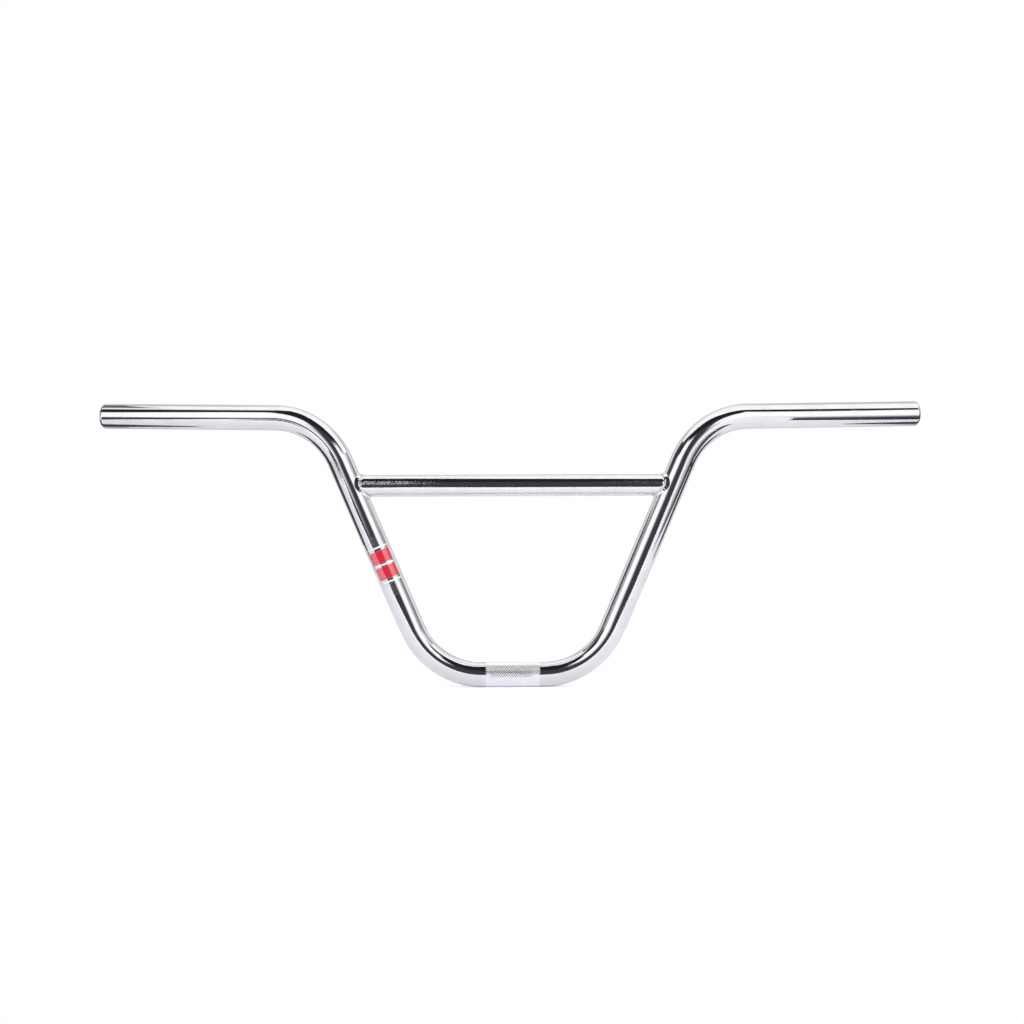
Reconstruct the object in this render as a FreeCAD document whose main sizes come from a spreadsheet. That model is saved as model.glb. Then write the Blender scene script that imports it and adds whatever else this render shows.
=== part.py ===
import FreeCAD, Part
import math
import os
import Sketcher

# Handlebar of a freestyle bicycle: one bent steel tube, a crossbar welded between its legs, two weld beads
# and a clear film on the left leg. Millimetres and degrees.
# The origin is the middle of the stem clamp. X runs along the clamp axis, the front of the bar faces -Y,
# the grips sweep back towards +Y, and Z is up.

SIZES = (
    ("bar_width", 736.6, "middle of one open end to middle of the other, along X"),
    ("rise", 227.5, "clamp axis up to the corner where leg and grip axes meet"),
    ("clamp_length", 54.8, "straight length between the lower bends"),
    ("leg_angle", 66.9, "leg above the clamp axis"),
    ("back_sweep", 12, "grip turned back"),
    ("up_sweep", 1.2, "grip tilted up"),
    ("tube_dia", 22.2, "main tube, outside"),
    ("tube_wall", 1.4, "main tube, wall"),
    ("lower_bend", 66.6, "centre line radius between clamp and leg"),
    ("upper_bend", 65, "centre line radius between leg and grip"),
    ("rim_bevel", 0.8, "bevel of the outer edge at each open end"),
    ("knurl_margin", 3.9, "plain tube between the knurled band and each lower bend"),
    ("knurl_height", 0.2, "crests of the knurl above the plain tube"),
    ("cross_dia", 19.05, "crossbar, outside"),
    ("cross_wall", 1.1, "crossbar, wall"),
    ("cross_drop", 23, "upper bend down the leg to the crossbar axis"),
    ("vent_dia", 4, "hole in the leg that vents the crossbar"),
    ("weld_size", 3.2, "leg length of the fillet weld"),
    ("film_gap", 33, "lower bend up the leg to the film"),
    ("film_length", 56, "film along the leg"),
    ("film_width", 18, "film across the leg, seen from the front"),
    ("film_corner", 4, "corner radius of the film"),
    ("film_thick", 0.1, "film thickness"),
)

doc = FreeCAD.newDocument("Handlebar")
sheet = doc.addObject("Spreadsheet::Sheet", "Sizes")
for row, (name, value, note) in enumerate(SIZES, start=1):
    sheet.set(f"A{row}", str(value))
    sheet.setAlias(f"A{row}", name)
    sheet.set(f"B{row}", note)
doc.recompute()
size = {name: float(value) for name, value, note in SIZES}


# Formulas in the sheet's own names. Each is text, so that the document works it out again when a cell changes.
def cells(text):
    """Put the sheet's name in front of every alias in a formula."""
    for name in sorted(size, key=len, reverse=True):
        text = text.replace(f"[{name}]", f"Sizes.{name}")
    return text


TUBE_R = cells("([tube_dia] / 2)")
BORE_R = cells("([tube_dia] / 2 - [tube_wall])")
CROSS_R = cells("([cross_dia] / 2)")

# Unit vector of the right grip, split along the leg, across the leg in the XZ plane, and towards the front.
GRIP_X = cells("(cos([back_sweep]) * cos([up_sweep]))")
GRIP_ALONG = cells(f"({GRIP_X} * cos([leg_angle]) + sin([up_sweep]) * sin([leg_angle]))")
GRIP_ACROSS = cells(f"(sin([up_sweep]) * cos([leg_angle]) - {GRIP_X} * sin([leg_angle]))")
GRIP_FRONT = cells("(-sin([back_sweep]) * cos([up_sweep]))")
TURN = f"acos({GRIP_ALONG})"
TWIST = f"atan2({GRIP_FRONT}; {GRIP_ACROSS})"

# Where the bends begin and end, measured from the corners of the centre line.
LOWER_CUT = cells("([lower_bend] * tan([leg_angle] / 2))")
UPPER_CUT = cells(f"([upper_bend] * tan({TURN} / 2))")
LOWER_X = cells(f"([clamp_length] / 2 + {LOWER_CUT})")
LEG = cells("([rise] / sin([leg_angle]))")
LEG_STRAIGHT = f"({LEG} - {LOWER_CUT} - {UPPER_CUT})"
UPPER_X = cells(f"({LOWER_X} + {LEG} * cos([leg_angle]))")
GRIP_STRAIGHT = cells(f"(([bar_width] / 2 - {UPPER_X}) / {GRIP_X} - {UPPER_CUT})")


def leg_point(distance):
    """X and Z of a point on the right leg's axis, at a distance up from the lower corner."""
    return cells(f"({LOWER_X} + {distance} * cos([leg_angle]))"), cells(f"({distance} * sin([leg_angle]))")


LEG_TOP_X, LEG_TOP_Z = leg_point(f"({LEG} - {UPPER_CUT})")
CROSS_X, CROSS_Z = leg_point(cells(f"({LEG} - {UPPER_CUT} - [cross_drop])"))
FILM_X, FILM_Z = leg_point(cells(f"({LOWER_CUT} + [film_gap])"))
LEG_LEAN = cells("(90 - [leg_angle])")


def new_body(label):
    body = doc.addObject("PartDesign::Body", label)
    body.Label = label
    return body


def plane(body, role):
    """One of the body's own origin planes."""
    for feature in body.Origin.OriginFeatures:
        if feature.Role == role:
            return feature
    raise RuntimeError(f"{body.Label} has no {role}")


def new_sketch(body, name, role, **offset):
    """A sketch on an origin plane, moved and turned by formulas: x, y, z, yaw, pitch, roll."""
    sketch = body.newObject("Sketcher::SketchObject", name)
    sketch.AttachmentSupport = [(plane(body, role), "")]
    sketch.MapMode = "FlatFace"
    for key, formula in offset.items():
        part = f"Base.{key}" if key in "xyz" else f"Rotation.{key.capitalize()}"
        sketch.setExpression(f"AttachmentOffset.{part}", str(formula))
    return sketch


def size_it(sketch, name, formula, kind, *where):
    """A dimension of a sketch that follows a formula."""
    index = sketch.addConstraint(Sketcher.Constraint(kind, *where))
    sketch.renameConstraint(index, name)
    sketch.setExpression(f"Constraints.{name}", formula)


def tie(sketch, kind, *where):
    sketch.addConstraint(Sketcher.Constraint(kind, *where))


def add_circle(sketch, name, radius_now, formula):
    """A circle about the sketch's origin."""
    circle = sketch.addGeometry(Part.Circle(FreeCAD.Vector(), FreeCAD.Vector(0, 0, 1), radius_now))
    tie(sketch, "Coincident", circle, 3, -1, 1)
    size_it(sketch, name, formula, "Radius", circle, radius_now)
    return circle


def set_feature(body, kind, name, profile, length=None, symmetric=False, through=False, reverse=False):
    """A pad or a pocket of a sketch."""
    feature = body.newObject(f"PartDesign::{kind}", name)
    feature.Profile = profile
    if symmetric:
        feature.SideType = "Symmetric"
    if through:
        feature.Type = "ThroughAll"
    else:
        feature.setExpression("Length", length)
    feature.Reversed = reverse
    doc.recompute()
    return feature


def mirror(body, name, originals):
    """The same features on the other side of the YZ plane."""
    copy = body.newObject("PartDesign::Mirrored", name)
    copy.Originals = originals
    copy.MirrorPlane = (plane(body, "YZ_Plane"), [""])
    body.Tip = copy
    doc.recompute()
    return copy


def pipe(body, name, section, path):
    feature = body.newObject("PartDesign::AdditivePipe", name)
    feature.Profile = section
    feature.Spine = path
    doc.recompute()
    return feature


def edges_where(feature, test):
    """Names of the edges that pass a test."""
    return [f"Edge{i}" for i, edge in enumerate(feature.Shape.Edges, start=1) if test(edge)]


# Numbers of the moment, used to draw each sketch near its solution and to pick edges.
tube_r = size["tube_dia"] / 2
bore_r = tube_r - size["tube_wall"]
cross_r = size["cross_dia"] / 2
lean = math.radians(size["leg_angle"])


def value(formula):
    """What a formula comes to now."""
    number = sheet.evalExpression(formula.replace("Sizes.", ""))
    return float(getattr(number, "Value", number))


# Main tube. The right half is drawn in two flat paths, because the grip leaves the plane of the leg:
# first clamp, lower bend and leg, then upper bend and grip in a plane twisted about the leg.
main_tube = new_body("main_tube")

leg_path = new_sketch(main_tube, "leg_path", "XZ_Plane")
half_clamp = size["clamp_length"] / 2
bend = size["lower_bend"]
bend_end = FreeCAD.Vector(half_clamp + bend * math.sin(lean), bend * (1 - math.cos(lean)), 0)
leg_end = bend_end + FreeCAD.Vector(math.cos(lean), math.sin(lean), 0) * value(LEG_STRAIGHT)
clamp_line = leg_path.addGeometry(Part.LineSegment(FreeCAD.Vector(), FreeCAD.Vector(half_clamp, 0, 0)))
lower_circle = Part.Circle(FreeCAD.Vector(half_clamp, bend, 0), FreeCAD.Vector(0, 0, 1), bend)
lower_arc = leg_path.addGeometry(Part.ArcOfCircle(lower_circle, -math.pi / 2, lean - math.pi / 2))
leg_line = leg_path.addGeometry(Part.LineSegment(bend_end, leg_end))
tie(leg_path, "Coincident", clamp_line, 1, -1, 1)
tie(leg_path, "Horizontal", clamp_line)
tie(leg_path, "Tangent", clamp_line, 2, lower_arc, 1)
tie(leg_path, "Tangent", lower_arc, 2, leg_line, 1)
size_it(leg_path, "half_clamp", "Sizes.clamp_length / 2", "Distance", clamp_line, half_clamp)
size_it(leg_path, "bend", "Sizes.lower_bend", "Radius", lower_arc, bend)
size_it(leg_path, "lean", "Sizes.leg_angle", "Angle", leg_line, lean)
size_it(leg_path, "straight", LEG_STRAIGHT, "Distance", leg_line, value(LEG_STRAIGHT))

clamp_section = new_sketch(main_tube, "clamp_section", "YZ_Plane")
add_circle(clamp_section, "outside", tube_r, TUBE_R)
add_circle(clamp_section, "bore", bore_r, BORE_R)
doc.recompute()
lower_pipe = pipe(main_tube, "lower_pipe", clamp_section, leg_path)

# The second path starts where the leg ends. Its x axis follows the leg, and it is rolled about the leg
# until the grip lies in its plane.
grip_path = new_sketch(main_tube, "grip_path", "XZ_Plane", x=LEG_TOP_X, y=LEG_TOP_Z,
                       yaw="Sizes.leg_angle", roll=TWIST)
turn = math.radians(value(TURN))
bend = size["upper_bend"]
bend_end = FreeCAD.Vector(bend * math.sin(turn), bend * (1 - math.cos(turn)), 0)
grip_end = bend_end + FreeCAD.Vector(math.cos(turn), math.sin(turn), 0) * value(GRIP_STRAIGHT)
upper_circle = Part.Circle(FreeCAD.Vector(0, bend, 0), FreeCAD.Vector(0, 0, 1), bend)
upper_arc = grip_path.addGeometry(Part.ArcOfCircle(upper_circle, -math.pi / 2, turn - math.pi / 2))
grip_line = grip_path.addGeometry(Part.LineSegment(bend_end, grip_end))
tie(grip_path, "Coincident", upper_arc, 1, -1, 1)
tie(grip_path, "PointOnObject", upper_arc, 3, -2)
tie(grip_path, "Tangent", upper_arc, 2, grip_line, 1)
size_it(grip_path, "bend", "Sizes.upper_bend", "Radius", upper_arc, bend)
size_it(grip_path, "turn", TURN, "Angle", grip_line, turn)
size_it(grip_path, "straight", GRIP_STRAIGHT, "Distance", grip_line, value(GRIP_STRAIGHT))

leg_section = new_sketch(main_tube, "leg_section", "XY_Plane", x=LEG_TOP_X, z=LEG_TOP_Z, pitch=LEG_LEAN)
add_circle(leg_section, "outside", tube_r, TUBE_R)
add_circle(leg_section, "bore", bore_r, BORE_R)
doc.recompute()
upper_pipe = pipe(main_tube, "upper_pipe", leg_section, grip_path)
mirror(main_tube, "left_half", [lower_pipe, upper_pipe])

# The knurled band in the middle of the clamp stands a little proud of the plain tube.
knurl_section = new_sketch(main_tube, "knurl_section", "YZ_Plane")
add_circle(knurl_section, "crests", tube_r + size["knurl_height"], cells(f"{TUBE_R} + [knurl_height]"))
add_circle(knurl_section, "bore", bore_r, BORE_R)
knurl_length = cells("[clamp_length] - 2 * [knurl_margin]")
set_feature(main_tube, "Pad", "knurl_band", knurl_section, knurl_length, symmetric=True)

# A vent hole through the inner wall of each leg opens into the end of the crossbar.
vent_section = new_sketch(main_tube, "vent_section", "YZ_Plane", y=CROSS_Z)
add_circle(vent_section, "vent", size["vent_dia"] / 2, "Sizes.vent_dia / 2")
set_feature(main_tube, "Pocket", "vent_holes", vent_section, f"2 * {CROSS_X}", symmetric=True)

# The outer edge of each open end is bevelled: the only circles of full tube radius that far out.
end_x = size["bar_width"] / 2
rims = edges_where(main_tube.Tip, lambda edge: isinstance(edge.Curve, Part.Circle)
                   and abs(edge.Curve.Radius - tube_r) < 1e-6 and abs(abs(edge.Curve.Center.x) - end_x) < 1e-3)
rim_bevel = main_tube.newObject("PartDesign::Chamfer", "rim_bevel")
rim_bevel.Base = (main_tube.Group[-2], rims)
rim_bevel.setExpression("Size", "Sizes.rim_bevel")
doc.recompute()

# Crossbar. A straight tube that is padded past both leg axes, then coped at each end to fit round the leg.
crossbar = new_body("crossbar")
cross_section = new_sketch(crossbar, "cross_section", "YZ_Plane", y=CROSS_Z)
add_circle(cross_section, "outside", cross_r, CROSS_R)
add_circle(cross_section, "bore", cross_r - size["cross_wall"], cells(f"{CROSS_R} - [cross_wall]"))
set_feature(crossbar, "Pad", "cross_tube", cross_section, f"2 * ({CROSS_X} + {TUBE_R})", symmetric=True)

# Seen along the leg, the cut is a U as wide as the leg, with its round end towards the middle of the bar.
cope_section = new_sketch(crossbar, "cope_section", "XY_Plane", x=CROSS_X, z=CROSS_Z, pitch=LEG_LEAN)
reach = 2 * tube_r
corners = [FreeCAD.Vector(0, -tube_r, 0), FreeCAD.Vector(reach, -tube_r, 0),
           FreeCAD.Vector(reach, tube_r, 0), FreeCAD.Vector(0, tube_r, 0)]
saddle = cope_section.addGeometry(Part.ArcOfCircle(
    Part.Circle(FreeCAD.Vector(), FreeCAD.Vector(0, 0, 1), tube_r), math.pi / 2, 3 * math.pi / 2))
low, far, high = [cope_section.addGeometry(Part.LineSegment(corners[i], corners[i + 1])) for i in range(3)]
tie(cope_section, "Coincident", saddle, 3, -1, 1)
tie(cope_section, "Tangent", saddle, 2, low, 1)
tie(cope_section, "Coincident", low, 2, far, 1)
tie(cope_section, "Coincident", far, 2, high, 1)
tie(cope_section, "Tangent", high, 2, saddle, 1)
tie(cope_section, "Horizontal", low)
tie(cope_section, "Horizontal", high)
tie(cope_section, "Vertical", far)
size_it(cope_section, "leg_radius", TUBE_R, "Radius", saddle, tube_r)
size_it(cope_section, "reach", cells("[tube_dia]"), "Distance", low, reach)
cope = set_feature(crossbar, "Pocket", "cope", cope_section, cells("4 * [tube_dia]"), symmetric=True)
mirror(crossbar, "left_cope", [cope])


# Weld beads. A stub of leg and a stub of crossbar meet in a corner, the corner is filled with a flat fillet weld,
# and both stubs are cut away again, so that only the ring of weld is left. The left ring mirrors the right one.
weld_beads = new_body("weld_beads")
leg_round = new_sketch(weld_beads, "weld_leg_round", "XY_Plane", x=CROSS_X, z=CROSS_Z, pitch=LEG_LEAN)
add_circle(leg_round, "leg_radius", tube_r, TUBE_R)
set_feature(weld_beads, "Pad", "weld_leg_stub", leg_round, cells("4 * [cross_dia]"), symmetric=True)
bar_round = new_sketch(weld_beads, "weld_bar_round", "YZ_Plane", y=CROSS_Z, z=CROSS_X)
add_circle(bar_round, "bar_radius", cross_r, CROSS_R)
bar_stub = set_feature(weld_beads, "Pad", "weld_bar_stub", bar_round, cells("2 * [cross_dia]"), reverse=True)

joint = FreeCAD.Vector(value(CROSS_X), 0, value(CROSS_Z))
leg_way = FreeCAD.Vector(math.cos(lean), 0, math.sin(lean))
bar_way = FreeCAD.Vector(1, 0, 0)


def in_corner(edge):
    """An edge that lies on both tubes at once."""
    points = edge.discretize(7)
    on_leg = all(abs(point.distanceToLine(joint, leg_way) - tube_r) < 1e-4 for point in points)
    return on_leg and all(abs(point.distanceToLine(joint, bar_way) - cross_r) < 1e-4 for point in points)


weld_corner = weld_beads.newObject("PartDesign::Chamfer", "weld_corner")
weld_corner.Base = (bar_stub, edges_where(bar_stub, in_corner))
weld_corner.setExpression("Size", "Sizes.weld_size")
doc.recompute()
set_feature(weld_beads, "Pocket", "weld_leg_cut", leg_round, symmetric=True, through=True)
set_feature(weld_beads, "Pocket", "weld_bar_cut", bar_round, symmetric=True, through=True)
left_bead = mirror(weld_beads, "left_bead", [])
left_bead.TransformMode = "Whole shape"
doc.recompute()

# Clear film on the front of the left leg. A block with rounded corners, as wide and long as the film, is cut to
# the film's round outer face and then to the round of the leg.
decal_film = new_body("decal_film")
film_outline = new_sketch(decal_film, "film_outline", "XZ_Plane", x=f"-{FILM_X}", y=FILM_Z, yaw=LEG_LEAN)
half_width = size["film_width"] / 2
corners = [FreeCAD.Vector(-half_width, 0, 0), FreeCAD.Vector(half_width, 0, 0),
           FreeCAD.Vector(half_width, size["film_length"], 0), FreeCAD.Vector(-half_width, size["film_length"], 0)]
sides = [film_outline.addGeometry(Part.LineSegment(corners[i], corners[(i + 1) % 4])) for i in range(4)]
for i in range(4):
    tie(film_outline, "Coincident", sides[i], 2, sides[(i + 1) % 4], 1)
    tie(film_outline, "Vertical" if i % 2 else "Horizontal", sides[i])
tie(film_outline, "Symmetric", sides[0], 1, sides[0], 2, -1, 1)
size_it(film_outline, "width", "Sizes.film_width", "Distance", sides[0], size["film_width"])
size_it(film_outline, "length", "Sizes.film_length", "Distance", sides[1], size["film_length"])
block = set_feature(decal_film, "Pad", "film_block", film_outline, "Sizes.tube_dia")

upright = edges_where(block, lambda edge: abs(edge.tangentAt(edge.FirstParameter).y) > 0.999)
film_round = decal_film.newObject("PartDesign::Fillet", "film_round")
film_round.Base = (block, upright)
film_round.setExpression("Radius", "Sizes.film_corner")
doc.recompute()

film_face = new_sketch(decal_film, "film_face", "XY_Plane", x=f"-{FILM_X}", z=FILM_Z, pitch=f"-{LEG_LEAN}")
add_circle(film_face, "waste", 4 * tube_r, f"4 * {TUBE_R}")
add_circle(film_face, "face", tube_r + size["film_thick"], cells(f"{TUBE_R} + [film_thick]"))
set_feature(decal_film, "Pocket", "film_outside", film_face, symmetric=True, through=True)
film_back = new_sketch(decal_film, "film_back", "XY_Plane", x=f"-{FILM_X}", z=FILM_Z, pitch=f"-{LEG_LEAN}")
add_circle(film_back, "back", tube_r, TUBE_R)
set_feature(decal_film, "Pocket", "film_inside", film_back, symmetric=True, through=True)

# Every object must have worked before anything is written.
for thing in doc.Objects:
    if {"Invalid", "Error"} & set(thing.State):
        raise RuntimeError(f"{thing.Label} failed: {thing.State}")
bodies = [main_tube, crossbar, weld_beads, decal_film]
for body in bodies:
    pieces = 2 if body is weld_beads else 1
    if body.Shape.isNull() or not body.Shape.isValid() or len(body.Shape.Solids) != pieces:
        raise RuntimeError(f"{body.Label} isn't sound: {len(body.Shape.Solids)} solids")

os.makedirs("parts", exist_ok=True)
for body in bodies:
    body.Shape.exportStep(f"parts/{body.Label}.step")
    box = body.Shape.BoundBox
    print(f"{body.Label}: {body.Shape.Volume:.1f} mm3, x {box.XMin:.2f} {box.XMax:.2f}, "
          f"y {box.YMin:.2f} {box.YMax:.2f}, z {box.ZMin:.2f} {box.ZMax:.2f}")
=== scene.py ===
# %% [markdown]
# # A chrome handlebar
# The part is one welded steel handlebar: a bent main tube, a crossbar, two weld beads and a clear printed
# film on one leg. The imported CAD model is loaded first and stays where it is, so every mesh made below uses
# the same frame: metres, the clamp's middle at the origin, the front towards -Y and up along +Z.

# %% Load the CAD frame
import math

import bpy
from mathutils import Matrix, Vector


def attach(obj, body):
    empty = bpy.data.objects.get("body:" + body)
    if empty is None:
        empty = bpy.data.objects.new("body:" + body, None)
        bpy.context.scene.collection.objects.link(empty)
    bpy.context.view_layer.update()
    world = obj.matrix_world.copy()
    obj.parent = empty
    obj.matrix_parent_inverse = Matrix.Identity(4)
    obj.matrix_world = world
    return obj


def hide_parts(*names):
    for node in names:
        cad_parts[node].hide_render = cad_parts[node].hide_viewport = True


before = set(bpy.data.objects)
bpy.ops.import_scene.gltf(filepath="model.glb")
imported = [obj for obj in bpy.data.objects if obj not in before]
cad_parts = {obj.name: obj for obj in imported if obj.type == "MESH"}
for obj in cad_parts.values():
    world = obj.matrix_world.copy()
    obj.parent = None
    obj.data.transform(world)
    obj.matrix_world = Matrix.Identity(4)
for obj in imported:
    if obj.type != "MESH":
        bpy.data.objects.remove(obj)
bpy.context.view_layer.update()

# %% [markdown]
# ## The bar's sizes
# A maker bends such a bar from one straight tube, so a few lengths and angles say everything: the width, the
# rise, the angle of the legs, the two bend radii and the sweep of the grips. The same numbers shape the CAD
# solids. They are kept in millimetres here and turned into metres where a mesh is made.

# %% Sizes of the tubes and the corners of the main tube's centre line
MM = 0.001
TUBE_R, TUBE_WALL = 11.1, 1.4
CROSS_R, CROSS_WALL = 9.525, 1.1
LOWER_BEND, UPPER_BEND = 66.6, 65.0
CLAMP_LENGTH, RISE, BAR_WIDTH = 54.8, 227.5, 736.6
LEG_ANGLE, BACK_SWEEP, UP_SWEEP = (math.radians(a) for a in (66.9, 12.0, 1.2))
LEG_LEAN = math.pi / 2 - LEG_ANGLE
CROSS_DROP = 23.0

lower_cut = LOWER_BEND * math.tan(LEG_ANGLE / 2)
lower_corner = Vector((CLAMP_LENGTH / 2 + lower_cut, 0, 0))
leg_way = Vector((math.cos(LEG_ANGLE), 0, math.sin(LEG_ANGLE)))
leg_length = RISE / math.sin(LEG_ANGLE)
upper_corner = lower_corner + leg_way * leg_length
grip_way = Vector((math.cos(BACK_SWEEP) * math.cos(UP_SWEEP), math.sin(BACK_SWEEP) * math.cos(UP_SWEEP),
                   math.sin(UP_SWEEP)))
grip_end = upper_corner + grip_way * ((BAR_WIDTH / 2 - upper_corner.x) / grip_way.x)
upper_cut = UPPER_BEND * math.tan(leg_way.angle(grip_way) / 2)
cross_middle = lower_corner + leg_way * (leg_length - upper_cut - CROSS_DROP)
print("upper corner:", upper_corner[:], "open end:", grip_end[:])
print("crossbar meets the leg at:", cross_middle[:])

# %% [markdown]
# ## Sums with sockets
# Node trees are easier to read as sums. This class holds one output socket. Adding, subtracting, multiplying
# or dividing it places the Math node that does so, and `node` places any other kind. It serves the shader
# trees and the Geometry Nodes trees alike.

# %% A socket that can be added and multiplied
class Wire:
    def __init__(self, tree, socket=None):
        self.tree, self.socket = tree, socket

    def node(self, kind, settings=None, sockets=None, out=0):
        """Add a node: its settings first, then the values or wires of its sockets. Gives one output."""
        made = self.tree.nodes.new(kind)
        for name, value in (settings or {}).items():
            setattr(made, name, value)
        for key, value in (sockets or {}).items():
            if isinstance(value, Wire):
                self.tree.links.new(value.socket, made.inputs[key])
            elif value is not None:
                made.inputs[key].default_value = value
        return Wire(self.tree, made.outputs[out]) if made.outputs else made

    def beside(self, name):
        """Another output of the node that this wire comes from."""
        return Wire(self.tree, self.socket.node.outputs[name])

    def math(self, operation, *others):
        return self.node("ShaderNodeMath", {"operation": operation}, dict(enumerate((self, *others))))

    def __add__(self, other):
        return self.math("ADD", other)

    def __mul__(self, other):
        return self.math("MULTIPLY", other)

    def __sub__(self, other):
        return self.math("SUBTRACT", other)

    def __rsub__(self, other):
        return (self * -1) + other

    def __truediv__(self, other):
        return self.math("DIVIDE", other)

    __radd__, __rmul__ = __add__, __mul__

    def between(self, low, high):
        """0 below low, 1 above high, with a soft step from one to the other."""
        return self.node("ShaderNodeMapRange", {"interpolation_type": "SMOOTHSTEP"},
                         {"Value": self, "From Min": low, "From Max": high})

    def within(self, start, end):
        """1 from start to end and 0 outside. Each is the pair of values that an edge fades between."""
        return self.between(*start) * (1 - self.between(*end))


print("wires ready")


# %% Helpers for materials
def split(place):
    """The X of a place. Its Y and Z are beside it."""
    return place.node("ShaderNodeSeparateXYZ", None, {"Vector": place})


def noise(place, scale, detail):
    """Soft noise from 0 to 1, on a place in metres."""
    return place.node("ShaderNodeTexNoise", None, {"Vector": place, "Scale": scale, "Detail": detail})


def blend_colours(amount, first, second):
    """A colour that goes from first to second as the amount goes from 0 to 1."""
    return amount.node("ShaderNodeMix", {"data_type": "RGBA"}, {0: amount, 6: first, 7: second}, out=2)


def new_finish(name):
    """A material, with the wire that starts its tree and its shader."""
    material = bpy.data.materials.new(name)
    material.use_nodes = True
    tree = material.node_tree
    return material, Wire(tree), tree.nodes["Principled BSDF"]


def feed(wire, node, socket):
    """Lead a wire into a socket of a shader or of the tree's output."""
    wire.tree.links.new(wire.socket, node.inputs[socket])


print("material helpers ready")

# %% [markdown]
# ## Chrome plate
# The whole bar is nickel-chrome plated. Chrome is almost a mirror, so its look comes from what stands round
# it. What is its own is small: a faint cloudiness, a slow waviness from the bending, and a fine grain that
# glints where a dark reflection lies. All of that is noise on Object coordinates, in metres. The grain is
# stronger where the polishing wheel could not reach well, so each piece says where that is.

# %% Chrome
CHROME_LIGHT = (0.790, 0.795, 0.806, 1)
CHROME_DULL = (0.740, 0.745, 0.760, 1)
CLOUD_SCALE, GRAIN_SCALE, WAVE_SCALE = 60.0, 850.0, 90.0
GRAIN, WAVES = 0.3, 0.8
POLISH, CLOUD_ROUGHNESS, GRAIN_ROUGHNESS = 0.03, 0.03, 0.45
RELIEF_DEPTH = 0.03


def chrome_plate(name, grain_here=None, haze_here=None, colour_here=None):
    """Chrome with a grain. From the place on the piece, grain_here gives the grain's strength, haze_here a
    satin finish and colour_here another colour."""
    material, start, shader = new_finish(name)
    place = start.node("ShaderNodeTexCoord", out="Object")
    x = split(place)
    cloud = noise(place, CLOUD_SCALE, 3.0)
    strength = cloud.between(0.45, 0.75) * GRAIN
    if grain_here:
        strength = strength + grain_here(x)
    glints = noise(place, GRAIN_SCALE, 3.0).between(0.38, 0.66) * strength
    roughness = cloud * CLOUD_ROUGHNESS + glints * GRAIN_ROUGHNESS + POLISH
    if haze_here:
        roughness = roughness + haze_here(x)
    if colour_here:
        colour = colour_here(x)
    else:
        colour = blend_colours(cloud.between(0.3, 0.7), CHROME_LIGHT, CHROME_DULL)
    height = glints + noise(place, WAVE_SCALE, 1.0) * WAVES
    relief = start.node("ShaderNodeBump", None, {"Strength": 1.0, "Distance": RELIEF_DEPTH * MM,
                                                 "Height": height})
    feed(colour, shader, "Base Color")
    feed(roughness, shader, "Roughness")
    feed(relief, shader, "Normal")
    shader.inputs["Metallic"].default_value = 1.0
    print(name, "has", len(material.node_tree.nodes), "nodes")
    return material


tube_chrome = chrome_plate("tube_chrome")

# %% [markdown]
# ## Bare steel inside the tube
# Plating hardly reaches the inside of a tube. There the drawn steel shows, dull grey with long streaks along
# the tube and a brown breath of rust. It is seen only at the two open ends.

# %% Bare steel
STEEL_DARK, STEEL_LIGHT = (0.20, 0.20, 0.21, 1), (0.34, 0.34, 0.35, 1)
RUST_BROWN, RUST_SCALE = (0.16, 0.10, 0.07, 1), 160.0
STREAK_STRETCH = (40.0, 900.0, 900.0)
STEEL_ROUGHNESS, RUST_ROUGHNESS, RUST_COVER = 0.45, 0.3, 0.5

steel, start, shader = new_finish("bare_steel")
place = start.node("ShaderNodeTexCoord", out="Object")
stretched = start.node("ShaderNodeMapping", None, {"Vector": place, "Scale": STREAK_STRETCH})
rust = noise(place, RUST_SCALE, 5.0).between(0.5, 0.8)
grey = blend_colours(noise(stretched, 1.0, 2.0), STEEL_DARK, STEEL_LIGHT)
feed(blend_colours(rust * RUST_COVER, grey, RUST_BROWN), shader, "Base Color")
feed(rust * RUST_ROUGHNESS + STEEL_ROUGHNESS, shader, "Roughness")
feed(1 - rust, shader, "Metallic")
print("bare steel:", len(steel.node_tree.nodes), "nodes")

# %% [markdown]
# ## From a node tree to a plain piece
# Several pieces are grown by Geometry Nodes, because a tube that follows a path and a pattern that repeats
# are rules, and a rule is what a node tree holds. Each tree gets named inputs for its sizes. The grown result
# is then turned into a plain mesh, the modifier goes away, the piece is parented to the bar's root and the
# CAD node that it replaces is hidden.

# %% Helpers for trees
def new_tree(name, sizes):
    """A Geometry Nodes tree with one geometry in and out, and named sizes. Gives its input wires too."""
    tree = bpy.data.node_groups.new(name, "GeometryNodeTree")
    tree.interface.new_socket("Geometry", in_out="INPUT", socket_type="NodeSocketGeometry")
    for size_name, kind in sizes.items():
        tree.interface.new_socket(size_name, in_out="INPUT", socket_type="NodeSocket" + kind)
    tree.interface.new_socket("Geometry", in_out="OUTPUT", socket_type="NodeSocketGeometry")
    entry = Wire(tree).node("NodeGroupInput")
    return tree, {socket: entry.beside(socket) for socket in ("Geometry", *sizes)}


def ring_sweep(line, sides, radius, scale=1.0):
    """A ring of that radius, swept along a line."""
    ring = line.node("GeometryNodeCurvePrimitiveCircle", None, {"Resolution": sides, "Radius": radius})
    return line.node("GeometryNodeCurveToMesh", None, {
        "Curve": line, "Profile Curve": ring, "Scale": scale})


def join(first, second, gap):
    """Two meshes as one. Points that are closer than the gap, in millimetres, become one point."""
    both = first.node("GeometryNodeJoinGeometry")
    for wire in (first, second):
        feed(wire, both.socket.node, 0)
    return first.node("GeometryNodeMergeByDistance", None, {"Geometry": both, "Distance": gap * MM})


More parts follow.
